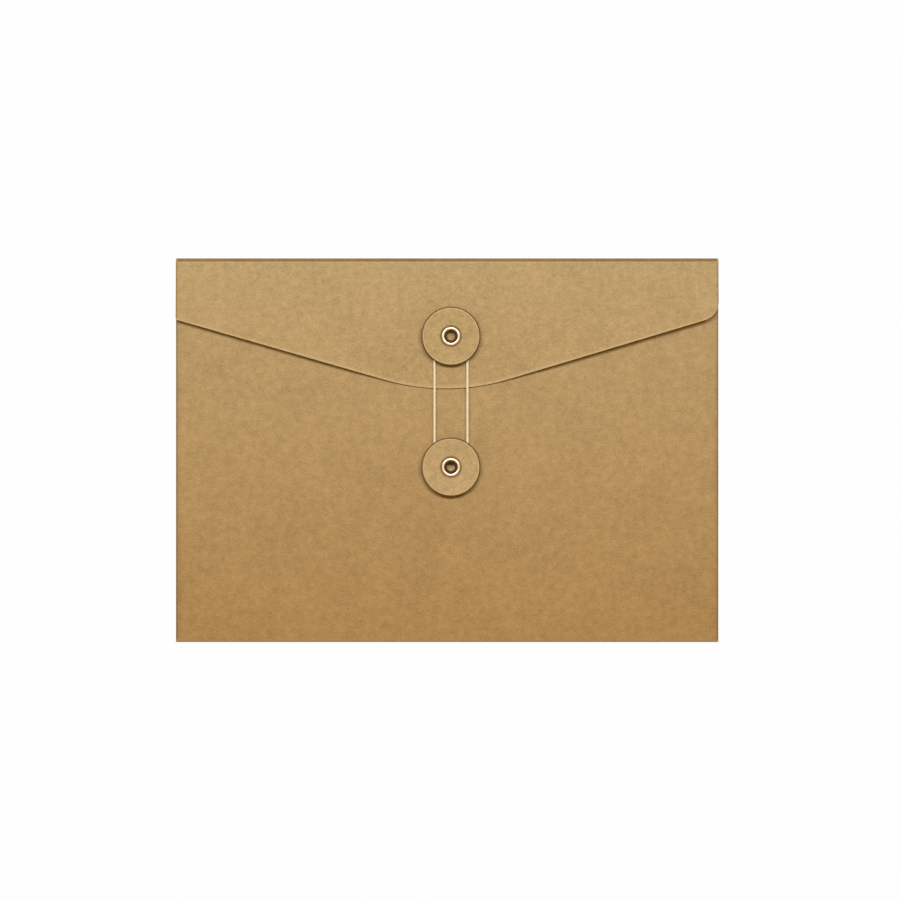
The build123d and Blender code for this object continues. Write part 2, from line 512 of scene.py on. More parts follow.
@dataclass(frozen=True)
class StringFinish(Finish):
    """Twisted cotton: pale crowns, painted shade in the grooves between the strands, fine fibres."""

    crown: Colour
    groove: Colour
    groove_fade: Span = (0.35, 1.0)
    fibre: Noise = (1.0, 3.0, 0.6)
    fibre_stretch: Point = (900.0, 9.0, 1.0)
    fibre_shade: Span = (0.86, 1.1)
    fuzz: Noise = (5200.0, 2.0, 0.5)
    fuzz_height: float = 0.4
    roughness: Span = (0.95, 0.8)
    gloss: float = 0.2
    sheen: Span = (0.25, 0.5)
    relief: Span = (0.03, 0.5)

    def paint(self, graph: Graph, effects: Effects) -> dict[str, object]:
        """Join the nodes of the look.

        Args:
            graph: the material's graph.
            effects: the shared node groups, which are not used here.

        Returns:
            The surface's inputs.
        """
        along = graph.add("ShaderNodeUVMap").outputs[0]
        fibres = graph.noise(graph.turned(along, self.fibre_stretch), self.fibre)
        fuzz = graph.noise(graph.object_place(), self.fuzz)
        deep = graph.spread(graph.mark(Mark.GROOVE), self.groove_fade)
        ground = graph.mix(deep, linear(self.crown), linear(self.groove))
        return {
            "Base Color": graph.scaled(ground, graph.spread(fibres, SHADE_TONES, self.fibre_shade)),
            "Roughness": graph.spread(fuzz, POLISH_TONES, self.roughness),
            "Specular IOR Level": self.gloss,
            "Sheen Weight": self.sheen[0],
            "Sheen Roughness": self.sheen[1],
            "Normal": graph.bump(graph.math("MULTIPLY_ADD", fuzz, self.fuzz_height, fibres), *self.relief),
        }


@dataclass(frozen=True)
class GlueFinish(Finish):
    """A dried film of glue, amber and streaked by the roller that laid it."""

    thick: Colour
    thin: Colour
    streak: Noise = (180.0, 3.0, 0.5)
    streak_stretch: Point = (6.0, 1.0, 1.0)
    streak_tones: Span = (0.3, 0.7)
    roughness: Span = (0.25, 0.45)
    relief: Span = (0.02, 0.4)

    def paint(self, graph: Graph, effects: Effects) -> dict[str, object]:
        """Join the nodes of the look.

        Args:
            graph: the material's graph.
            effects: the shared node groups, which are not used here.

        Returns:
            The surface's inputs.
        """
        streaks = graph.noise(graph.turned(graph.object_place(), self.streak_stretch), self.streak)
        thinned = graph.spread(streaks, self.streak_tones)
        return {
            "Base Color": graph.mix(thinned, linear(self.thick), linear(self.thin)),
            "Roughness": graph.spread(streaks, self.streak_tones, self.roughness),
            "Normal": graph.bump(streaks, *self.relief),
        }


def make_finishes() -> Finishes:
    """Build every finish of the envelope, once each.

    Returns:
        The materials by slot.
    """
    finishes = {
        # Painted shade: the kraft board is darker and more orange towards the bottom, away from the light.
        Slot.BOARD: BoardFinish("kraft_board_finish", bottom=(180, 138, 82), top=(189, 157, 108),
                                edge=(210, 179, 130), crease=(196, 186, 168), contrast=0.34,
                                levels=(-81.0, 81.0)),
        # Painted shade darkens the disc's rim and the ring round its eyelet.
        Slot.DISC: BoardFinish("kraft_disc_finish", bottom=(196, 162, 112), top=(188, 157, 105),
                               edge=(218, 186, 137), crease=(158, 138, 112), contrast=0.4,
                               levels=(-20.0, 60.0)),
        Slot.SPACER: SpacerFinish("grey_board_finish", face=(150, 126, 96), layer=(112, 92, 68)),
        Slot.EYELET: MetalFinish("bright_nickel_finish", bright=(226, 201, 167), dull=(208, 183, 147),
                                 bore_shade=(126, 94, 60)),
        Slot.STRING: StringFinish("cotton_string_finish", crown=(255, 243, 210), groove=(226, 203, 162)),
        Slot.GLUE: GlueFinish("seam_glue_finish", thick=(196, 164, 104), thin=(224, 204, 158)),
    }
    effects = Effects()
    return {slot: finish.make(effects) for slot, finish in finishes.items()}


def new_mesh(*marks: Mark) -> BMesh:
    """Start a mesh.

    Args:
        marks: the values that its vertices have, at 0.

    Returns:
        The empty mesh.
    """
    bm = bmesh.new()
    for mark in marks:
        bm.verts.layers.float.new(mark.value)
    return bm


def set_mark(bm: BMesh, mark: Mark, verts: Iterable[BMVert], value: float = 1.0) -> None:
    """Set a vertex value.

    Args:
        bm: the mesh.
        mark: which value.
        verts: the vertices that get it.
        value: what it becomes.
    """
    layer = bm.verts.layers.float[mark.value]
    for vert in verts:
        vert[layer] = value


def only(geom: list, kind: type) -> list:
    """Pick the elements of one kind out of an operator's geometry."""
    return [item for item in geom if isinstance(item, kind)]


def edges_where(bm: BMesh, test: Callable[[Vector], bool]) -> list[BMEdge]:
    """Find the edges whose two ends both pass a test of their place."""
    return [edge for edge in bm.edges if all(test(vert.co) for vert in edge.verts)]


def draw_out(bm: BMesh, edges: list[BMEdge]) -> list[BMVert]:
    """Draw new faces out of some edges, and find their free vertices."""
    return only(bmesh.ops.extrude_edge_only(bm, edges=edges)["geom"], BMVert)


def bend(bm: BMesh, edges: list[BMEdge], centre: Point, axis: Vector, angle: float,
         steps: int) -> list[BMEdge]:
    """Bend a row of edges round an axis.

    Args:
        bm: the sheet.
        edges: the row.
        centre: a place on the axis.
        axis: direction of the axis.
        angle: angle of the bend.
        steps: faces along the bend.

    Returns:
        The row at the end of the bend.
    """
    verts = dict.fromkeys(vert for edge in edges for vert in edge.verts)
    turned = bmesh.ops.spin(bm, geom=[*verts, *edges], cent=centre, axis=axis, angle=angle, steps=steps)
    return only(turned["geom_last"], BMEdge)


def face_out(bm: BMesh, way: Vector | None = None) -> None:
    """Point the faces of a mesh outwards.

    Args:
        bm: the mesh.
        way: the side that an open sheet's outer face looks to, where that is known.
    """
    bmesh.ops.recalc_face_normals(bm, faces=list(bm.faces))
    if way is not None and sum(face.normal.dot(way) for face in bm.faces) < 0:
        bmesh.ops.reverse_faces(bm, faces=list(bm.faces))


def thicken(bm: BMesh, thickness: float) -> None:
    """Turn a sheet, whose faces point outwards, into board, and leave its outer face where it is."""
    bmesh.ops.solidify(bm, geom=list(bm.faces), thickness=thickness)
    face_out(bm)


def punch(bm: BMesh, centre: Vector, radius: float, reach: float, rows: dict[BMVert, float]) -> None:
    """Cut a round hole in a grid: a block of cells comes out and its rim is drawn in to a ring.

    Args:
        bm: the sheet.
        centre: centre of the hole.
        radius: radius of the hole.
        reach: half side of the block.
        rows: level in Y, at the hole, of the row that each vertex is in.
    """
    cells = [face for face in bm.faces
             if all(abs(vert.co.x - centre.x) < reach and abs(rows[vert] - centre.y) < reach
                    for vert in face.verts)]
    block = set(cells)
    rim = [edge for edge in bm.edges if sum(face in block for face in edge.link_faces) == 1]
    bmesh.ops.delete(bm, geom=cells, context="FACES")
    for vert in draw_out(bm, rim):
        vert.co = centre + (vert.co - centre).normalized() * radius


def spin_round(bm: BMesh, centre: Place, steps: int) -> None:
    """Turn the section in a mesh once round a button's upright axis.

    Args:
        bm: the section, in the plane of X and Z through the axis.
        centre: the axis in X and Y.
        steps: sides of the turned piece.
    """
    bmesh.ops.spin(bm, geom=[*bm.verts, *bm.edges], cent=(*centre, 0.0), axis=UP, angle=math.tau,
                   steps=steps, use_merge=True)
    bmesh.ops.remove_doubles(bm, verts=list(bm.verts), dist=MERGE)
    face_out(bm)


def turn_profile(bm: BMesh, centre: Place, profile: list[Place], steps: int) -> None:
    """Turn a closed profile into a ring.

    Args:
        bm: an empty mesh.
        centre: the axis in X and Y.
        profile: radius and level of each corner, in order.
        steps: sides of the ring.
    """
    x, y = centre
    corners = [bm.verts.new((x + radius, y, level)) for radius, level in profile]
    for first, second in zip(corners, corners[1:] + corners[:1]):
        bm.edges.new((first, second))
    spin_round(bm, centre, steps)


def new_object(name: str, data: ID) -> Object:
    """Add an object to the scene.

    Args:
        name: its name.
        data: its mesh, camera or lamp.

    Returns:
        The object.
    """
    thing = bpy.data.objects.new(name, data)
    bpy.context.scene.collection.objects.link(thing)
    return thing


def make_piece(bm: BMesh, name: str, finish: Material, sharp: float = 40.0) -> Object:
    """Turn a mesh in mm into an object in metres.

    Args:
        bm: the mesh, which is used up.
        name: name of the piece.
        finish: its material.
        sharp: angle in degrees past which an edge stays sharp.

    Returns:
        The object.
    """
    bmesh.ops.transform(bm, matrix=Matrix.Scale(MM, 4), verts=list(bm.verts))
    mesh = bpy.data.meshes.new(name)
    bm.to_mesh(mesh)
    bm.free()
    mesh.shade_smooth()
    mesh.set_sharp_from_angle(angle=math.radians(sharp))
    mesh.materials.append(finish)
    return new_object(name, mesh)


def fit(piece: Object, body: Body, slot: Slot, *nodes: str) -> Object:
    """Put a piece on its body, in place of its nodes.

    Args:
        piece: the finished piece.
        body: the body that it rides on.
        slot: the record's slot of its finish, which is not used.
        nodes: the nodes that it stands for.

    Returns:
        The piece.
    """
    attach(piece, body.value)
    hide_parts(*nodes)
    LOG.info("%s rides on %s and stands for %s", piece.name, body.value, ", ".join(nodes))
    return piece


@dataclass
class Sheet:
    """Sizes that the pocket and the flap share, in mm."""

    width: float = 229.0
    height: float = 162.0
    board: float = 0.4
    front_top: float = 2.1
    flap_top: float = 2.95
    hole_radius: float = 2.11
    punch_reach: float = 5.6
    bend_steps: int = 24

    @property
    def half_width(self) -> float:
        """Half the width."""
        return self.width / 2

    @property
    def half_height(self) -> float:
        """Half the height."""
        return self.height / 2

    @property
    def flap_bend(self) -> float:
        """Outer radius of the flap fold."""
        return self.flap_top / 2

    @property
    def flap_start(self) -> float:
        """Where the flat flap and the flat back begin, at the flap fold."""
        return self.half_height - self.flap_bend


@dataclass
class Pocket(Sheet):
    """The pocket: back, bottom fold, front, side folds and glued tabs, bent from one sheet."""

    mouth_drop: float = 7.0
    tab_bottom: float = 0.48
    tab_width: float = 15.0
    tab_taper: float = 12.0
    button: Place = FRONT_BUTTON_PLACE
    cells: tuple[int, int] = (118, 80)
    bottom_fold_light: float = 0.6
    side_shade: float = 0.2
    fold_shade: float = 0.65
    hole_floor_light_reach: float = 3.0

    @property
    def bottom_bend(self) -> float:
        """Outer radius of the bottom fold."""
        return self.front_top / 2

    @property
    def side_bend(self) -> float:
        """Outer radius of a side fold."""
        return (self.front_top - self.tab_bottom) / 2

    @property
    def low(self) -> float:
        """Where the flat front and the flat back begin, at the bottom fold."""
        return self.bottom_bend - self.half_height

    @property
    def high(self) -> float:
        """Where the front ends, at the mouth."""
        return self.half_height - self.mouth_drop

    @property
    def side(self) -> float:
        """Half the width of the flat front."""
        return self.half_width - self.side_bend

    def build(self) -> BMesh:
        """Bend the sheet into the pocket.

        Returns:
            The pocket's board.
        """
        bm = new_mesh(Mark.CUT, Mark.CREASE)
        size = Matrix.Diagonal((2 * self.side, self.high - self.low, 1.0, 1.0))
        place = Matrix.Translation((0.0, (self.high + self.low) / 2, self.front_top))
        bmesh.ops.create_grid(bm, x_segments=self.cells[0], y_segments=self.cells[1], size=0.5,
                              matrix=place @ size)
        bottom = edges_where(bm, lambda co: co.y < self.low + NEAR)
        sides = {which: edges_where(bm, lambda co, sign=which.value: sign * co.x > self.side - NEAR)
                 for which in Side}
        punch(bm, Vector((*self.button, self.front_top)), self.hole_radius, self.punch_reach,
              {vert: vert.co.y for vert in bm.verts})
        flat = set(bm.verts)
        last = bend(bm, bottom, (0.0, self.low, self.bottom_bend), ALONG_X, math.pi, self.bend_steps)
        # Painted light: the bottom fold, which faces away from the softboxes, is paler.
        set_mark(bm, Mark.CUT, (vert for vert in bm.verts if vert not in flat), self.bottom_fold_light)
        self.add_back(bm, last)
        self.widen_fold(bm)
        for which, edges in sides.items():
            self.add_side(bm, which, edges)
        face_out(bm)
        # The lower ends of the side folds stand against the bottom fold, so no raw edge shows there.
        set_mark(bm, Mark.CUT, (vert for vert in bm.verts
                                if vert.is_boundary and abs(vert.co.y - self.low) > NEAR))
        thicken(bm, self.board)
        # Painted light: the inside of the back is paler round the front eyelet, where it shows at the bottom
        # of the eyelet's hole.
        set_mark(bm, Mark.CUT, (vert for vert in bm.verts if abs(vert.co.z - self.board) < NEAR
                                and math.dist(vert.co.xy, self.button) < self.hole_floor_light_reach))
        return bm

    def add_back(self, bm: BMesh, edges: list[BMEdge]) -> None:
        """Draw the back out of the bottom fold, up to the flap fold.

        Args:
            bm: the sheet.
            edges: the fold's last row of edges.
        """
        verts = draw_out(bm, edges)
        length = self.flap_start - self.low
        set_mark(bm, Mark.CUT, verts, 0.0)
        bmesh.ops.translate(bm, vec=ALONG_Y * length, verts=verts)
        long = [edge for vert in verts for edge in vert.link_edges if edge.calc_length() > length / 2]
        bmesh.ops.subdivide_edges(bm, edges=long, cuts=self.cells[1], use_grid_fill=True)

    def widen_fold(self, bm: BMesh) -> None:
        """Draw the ends of the bottom fold out to the full width.

        Args:
            bm: the sheet.
        """
        for which in Side:
            ends = edges_where(bm, lambda co, sign=which.value: sign * co.x > self.side - NEAR
                               and co.y < self.low + NEAR)
            verts = draw_out(bm, [edge for edge in ends if edge.is_boundary])
            bmesh.ops.translate(bm, vec=ALONG_X * which.value * self.side_bend, verts=verts)

    def add_side(self, bm: BMesh, which: Side, edges: list[BMEdge]) -> None:
        """Fold one side of the front in and draw its tab out of the fold.

        Args:
            bm: the sheet.
            which: the side.
            edges: the front's edges on that side.
        """
        before = set(bm.verts)
        # Painted shade: the side folds, and the edge of the front beside them, are darker.
        set_mark(bm, Mark.CREASE, (vert for edge in edges for vert in edge.verts), self.side_shade)
        centre = (which.value * self.side, 0.0, self.front_top - self.side_bend)
        last = bend(bm, edges, centre, ALONG_Y, which.value * math.pi, self.bend_steps)
        set_mark(bm, Mark.CREASE, (vert for vert in bm.verts if vert not in before), self.fold_shade)
        verts = draw_out(bm, last)
        set_mark(bm, Mark.CREASE, verts, 0.0)
        recess = self.tab_width * math.tan(math.radians(self.tab_taper))
        shrink = 1 - 2 * recess / (self.high - self.low)
        middle = Matrix.Translation((0.0, -(self.high + self.low) / 2, 0.0))
        bmesh.ops.scale(bm, vec=(1.0, shrink, 1.0), verts=verts, space=middle)
        bmesh.ops.translate(bm, vec=ALONG_X * -which.value * self.tab_width, verts=verts)

    def dress(self, finishes: Finishes) -> list[Object]:
        """Build the pocket and put it on its body.

        Args:
            finishes: the envelope's finishes.

        Returns:
            The pieces.
        """
        board = fit(make_piece(self.build(), "pocket_board", finishes[Slot.BOARD]), Body.POCKET, Slot.BOARD,
                    "back_panel", "front_panel", "bottom_fold", "left_side_fold", "right_side_fold",
                    "left_side_tab", "right_side_tab")
        films = [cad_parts[f"{which.name.lower()}_glue_film"] for which in Side]
        for film in films:
            film.data.materials.clear()
            film.data.materials.append(finishes[Slot.GLUE])
        return [board, *films]


@dataclass
class Flap(Sheet):
    """The closing flap, which springs up at its sides, and the fold on which it hinges."""

    left_depth: float = 25.85
    right_depth: float = 24.4
    point_depth: float = 58.85
    tip_radius: float = 92.0
    left_radius: float = 0.8
    right_radius: float = 8.4
    button: Place = FLAP_BUTTON_PLACE
    cells: tuple[int, int] = (180, 44)
    held_reach: float = 12.0
    spring_reach: float = 40.0
    spring: float = 2.0
    right_curl: float = 0.7
    edge_highlight: float = 0.6
    edge_highlight_rows: float = 1.5
    fold_highlight: float = 0.75
    shaded_side_width: float = 1.2
    side_edge_shade: float = 0.8

    @property
    def point(self) -> float:
        """Where the two cut edges would meet, in Y."""
        return self.half_height - self.point_depth

    def rise(self, x: float) -> float:
        """Find how steeply the cut edge climbs on one side of the tip."""
        return (self.point_depth - (self.right_depth if x > 0 else self.left_depth)) / self.half_width

    def edge_line(self, x: float) -> float:
        """Find the flap's cut edge.

        Args:
            x: place across the flap.

        Returns:
            The edge's place in Y.
        """
        left, right = self.rise(-1.0), self.rise(1.0)
        middle = self.tip_radius * (math.hypot(1, left) - math.hypot(1, right)) / (left + right)
        climb = self.rise(x)
        off = x - middle
        if abs(off) < self.tip_radius * climb / math.hypot(1, climb):
            level = self.point + right * middle + self.tip_radius * math.hypot(1, right)
            return level - math.sqrt(self.tip_radius**2 - off * off)
        radius = self.right_radius if x > 0 else self.left_radius
        centre = self.half_width - radius
        past = abs(x) - centre
        if past > radius * climb / math.hypot(1, climb):
            level = self.point + climb * centre + radius * math.hypot(1, climb)
            return level - math.sqrt(max(0.0, radius**2 - past * past))
        return self.point + climb * abs(x)

    def lift(self, x: float, y: float) -> float:
        """Find how far the flap springs up off the front, where the string doesn't hold it.

        Args:
            x: place across the flap.
            y: place along the flap.

        Returns:
            The rise in mm.
        """
        free = self.spring * smooth_step((abs(x) - self.held_reach) / self.spring_reach)
        free += self.right_curl * smooth_step((x - self.held_reach) / (self.half_width - self.held_reach))
        share = (self.flap_start - y) / (self.flap_start - self.point - self.rise(x) * abs(x))
        return free * share * share

    def build(self) -> BMesh:
        """Cut and curl the flap.

        Returns:
            The flap's board.
        """
        bm = new_mesh(Mark.CUT, Mark.CREASE)
        bmesh.ops.create_grid(bm, x_segments=self.cells[0], y_segments=self.cells[1], size=1.0)
        shares = {vert: (1.0 - vert.co.y) / 2 for vert in bm.verts}
        for vert, share in shares.items():
            x = self.half_width * math.sin(vert.co.x * math.pi / 2)
            y = self.flap_start + share * (self.edge_line(x) - self.flap_start)
            vert.co = (x, y, self.flap_top)
        # Painted highlight: the top of the flap is paler along its cut edge.
        rubbed_and_lit = 1 - self.edge_highlight_rows / self.cells[1]
        set_mark(bm, Mark.CUT, (vert for vert, share in shares.items() if share > rubbed_and_lit), self.edge_highlight)
        set_mark(bm, Mark.CUT, (vert for vert, share in shares.items() if share == 1))
        # Painted highlight along the flap's row at the fold.
        set_mark(bm, Mark.CUT, (vert for vert, share in shares.items() if share == 0), self.fold_highlight)
        # Painted shade darkens the flap along its side edges; then the flap springs up.
        for vert in bm.verts:
            past = abs(vert.co.x) - self.half_width + self.shaded_side_width
            set_mark(bm, Mark.CREASE, [vert], self.side_edge_shade * smooth_step(past / self.shaded_side_width))
            vert.co.z += self.lift(vert.co.x, vert.co.y)
        depth = self.flap_start - self.edge_line(self.button[0])
        rows = {vert: self.flap_start - share * depth for vert, share in shares.items()}
        punch(bm, Vector((*self.button, self.flap_top)), self.hole_radius, self.punch_reach, rows)
        face_out(bm, UP)
        thicken(bm, self.board)
        return bm

    def build_fold(self) -> BMesh:
        """Bend the fold between the back and the flap.

        Returns:
            The fold.
        """
        bm = new_mesh(Mark.CUT, Mark.CREASE)
        ends = [bm.verts.new((side.value * self.half_width, self.flap_start, self.flap_top)) for side in Side]
        bmesh.ops.subdivide_edges(bm, edges=[bm.edges.new(ends)], cuts=self.cells[0])
        bend(bm, list(bm.edges), (0.0, self.flap_start, self.flap_bend), ALONG_X, -math.pi,
             2 * self.bend_steps)
        face_out(bm, ALONG_Y)
        shoulder = [vert for vert in bm.verts if vert.co.y < self.flap_start + NEAR]
        # Painted shade over the fold and a painted highlight along its shoulder; its ends are raw cut edges.
        set_mark(bm, Mark.CREASE, bm.verts)
        set_mark(bm, Mark.CREASE, shoulder, 0.0)
        set_mark(bm, Mark.CUT, (vert for vert in bm.verts if abs(vert.co.x) > self.half_width - NEAR))
        set_mark(bm, Mark.CUT, shoulder, self.fold_highlight)
        thicken(bm, self.board)
        return bm

    def dress(self, finishes: Finishes) -> list[Object]:
        """Build the flap and its fold, and put them on their bodies.

        Args:
            finishes: the envelope's finishes.

        Returns:
            The pieces.
        """
        board = fit(make_piece(self.build(), "flap_board", finishes[Slot.BOARD]), Body.FLAP, Slot.BOARD,
                    "closing_flap")
        fold = make_piece(self.build_fold(), "flap_crease", finishes[Slot.BOARD])
        hinge = self.flap_start * MM
        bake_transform(fold, Body.POCKET.value, Body.FLAP.value, start=(0.0, hinge, 0.0),
                 end=(0.0, hinge, self.flap_top * MM))
        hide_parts("flap_fold")
        return [board, fold]


@dataclass
class Button:
    """A button: a disc on a spacer, held by an eyelet through the board. Sizes are in mm."""

    name: str
    centre: Place
    board_top: float
    fixed_body: Body
    disc_body: Body
    disc_radius: float = 12.45
    disc_thickness: float = 0.9
    disc_rim: float = 0.45
    rubbed_and_lit_rim: Span = (0.62, 1.35)
    flange_shadow_ring: Span = (4.15, 5.0)
    ring_near: float = 0.02
    spacer_radius: float = 6.35
    spacer_thickness: float = 1.8
    spacer_rim: float = 0.12
    spacer_hole: float = 2.68
    board: float = 0.4
    mouth: float = 2.7
    throat: float = 1.7
    wall: float = 0.25
    flange_curl: float = 0.65
    clinch_curl: float = 0.35
    play: float = 0.03
    hole_gap: float = 0.06
    bore_edge: float = 0.05
    bore_fade: float = 0.3
    steps: int = 128
    rim_steps: int = 4
    curl_steps: int = 20
    eyelet_sharp: float = 60.0

    @property
    def disc_low(self) -> float:
        """Level of the disc's underside."""
        return self.board_top + self.spacer_thickness + self.play

    @property
    def lip(self) -> float:
        """Level of the flange's lip."""
        return self.disc_low + self.disc_thickness + self.play

    def reach(self, place: Vector) -> float:
        """Find how far a place is from the button's axis."""
        return math.hypot(place.x - self.centre[0], place.y - self.centre[1])

    def soften(self, bm: BMesh, radius: float, rim: float) -> None:
        """Round the rim of a turned ring.

        Args:
            bm: the ring.
            radius: radius of the rim's edges.
            rim: radius of the rounding.
        """
        outer = edges_where(bm, lambda co: abs(self.reach(co) - radius) < NEAR)
        level = [edge for edge in outer if abs(edge.verts[0].co.z - edge.verts[1].co.z) < NEAR]
        bmesh.ops.bevel(bm, geom=level, offset=rim, segments=self.rim_steps, profile=0.5, material=-1,
                        affect="EDGES")
        # The two roundings of a disc meet at mid-height.
        bmesh.ops.remove_doubles(bm, verts=list(bm.verts), dist=MERGE)

    def build_disc(self) -> BMesh:
        """Turn the disc, with painted shade on its soft rim, a paler ring inside the rim that is painted
        highlight and rubbed wear, and a painted shadow of the eyelet round its hole.

        Returns:
            The disc.
        """
        bm = new_mesh(Mark.CUT, Mark.CREASE)
        hole = self.mouth + self.wall + self.hole_gap
        low, high = self.disc_low, self.disc_low + self.disc_thickness
        flange_shadow, clear = self.flange_shadow_ring
        rubbed_and_lit, plain = (self.disc_radius - inset for inset in self.rubbed_and_lit_rim)
        top = [(radius, high) for radius in (self.disc_radius, rubbed_and_lit, plain, clear, flange_shadow, hole)]
        turn_profile(bm, self.centre, [(hole, low), (self.disc_radius, low), *top], self.steps)
        self.soften(bm, self.disc_radius, self.disc_rim)
        # Painted shade on the rim and as the eyelet's shadow round the hole; a paler ring inside the rim is
        # part painted highlight, part rubbed wear.
        cut = self.disc_radius - self.disc_rim - self.ring_near
        for vert in bm.verts:
            reach = self.reach(vert.co)
            set_mark(bm, Mark.CUT, [vert], float(abs(reach - rubbed_and_lit) < self.ring_near))
            set_mark(bm, Mark.CREASE, [vert], float(not flange_shadow + self.ring_near < reach < cut))
        return bm

    def build_spacer(self) -> BMesh:
        """Turn the spacer under the disc.

        Returns:
            The spacer.
        """
        bm = new_mesh()
        low, high = self.board_top, self.board_top + self.spacer_thickness
        turn_profile(bm, self.centre, [(self.spacer_hole, low), (self.spacer_radius, low),
                                       (self.spacer_radius, high), (self.spacer_hole, high)], self.steps)
        self.soften(bm, self.spacer_radius, self.spacer_rim)
        return bm

    def build_eyelet(self) -> BMesh:
        """Turn the eyelet: a tapered tube curled over into a flange on top and a clinch underneath.

        Returns:
            The eyelet.
        """
        bm = new_mesh(Mark.BORE_SHADE)
        x, y = self.centre
        foot = bm.verts.new((x + self.throat, y, self.board_top - self.board))
        head = bm.verts.new((x + self.mouth, y, self.lip))
        bm.edges.new((foot, head))
        for end, roll, turn in ((head, self.flange_curl, math.pi), (foot, self.clinch_curl, -math.pi)):
            bmesh.ops.spin(bm, geom=[end], cent=end.co + ALONG_X * roll, axis=ALONG_Y, angle=turn,
                           steps=self.curl_steps)
        spin_round(bm, self.centre, self.steps)
        # Painted shade inside the bore, fading out over the flange's curl.
        for vert in bm.verts:
            past = (self.reach(vert.co) - self.mouth) / self.flange_curl - self.bore_edge
            set_mark(bm, Mark.BORE_SHADE, [vert], 1.0 - smooth_step(past / self.bore_fade))
        top = max(bm.faces, key=lambda face: face.calc_center_median().z)
        if top.normal.z < 0:
            bmesh.ops.reverse_faces(bm, faces=list(bm.faces))
        thicken(bm, self.wall)
        return bm

    def dress(self, finishes: Finishes) -> list[Object]:
        """Build the button and put its pieces on their bodies.

        Args:
            finishes: the envelope's finishes.

        Returns:
            The pieces.
        """
        disc = make_piece(self.build_disc(), f"{self.name}_button_disc", finishes[Slot.DISC])
        spacer = make_piece(self.build_spacer(), f"{self.name}_button_spacer", finishes[Slot.SPACER])
        eyelet = make_piece(self.build_eyelet(), f"{self.name}_button_eyelet", finishes[Slot.EYELET],
                            self.eyelet_sharp)
        return [
            fit(disc, self.disc_body, Slot.DISC, f"{self.name}_disc"),
            fit(spacer, self.fixed_body, Slot.SPACER, f"{self.name}_spacer"),
            fit(eyelet, self.fixed_body, Slot.EYELET, f"{self.name}_eyelet"),
        ]


